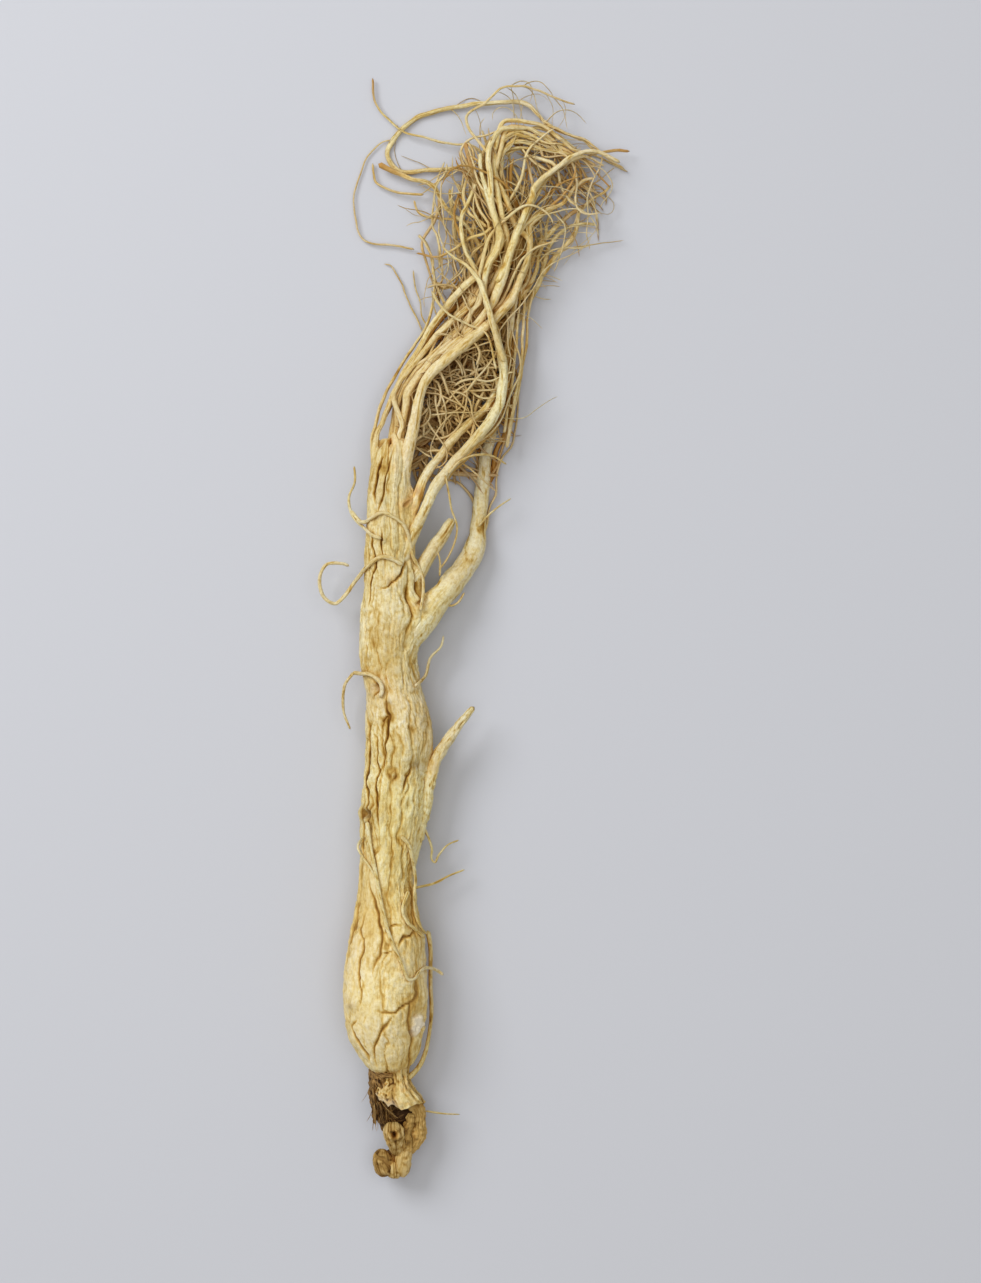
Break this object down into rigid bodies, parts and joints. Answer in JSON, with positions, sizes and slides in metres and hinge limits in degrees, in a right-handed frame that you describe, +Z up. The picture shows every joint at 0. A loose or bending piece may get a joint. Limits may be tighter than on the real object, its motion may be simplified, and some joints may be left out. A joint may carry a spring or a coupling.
{
  "type": "dried ginseng root",
  "caption": "Whole dried ginseng root lying on its side: knobbly rhizome, long wrinkled body, thin side roots and a tuft of curling rootlets.",
  "frame": {"origin": "on the surface that the root lies on, at the middle of the pressed flat under its thick shoulder", "axes": "+Y from the rhizome to the tips of the rootlets, +X to the right of that seen from above, +Z up from the surface"},
  "size_m": [0.0603, 0.2307, 0.0163],
  "materials": {
    "dried_root": null
  },
  "bodies": {
    "root": {"ginseng_root": "dried_root"}
  },
  "joints": []
}
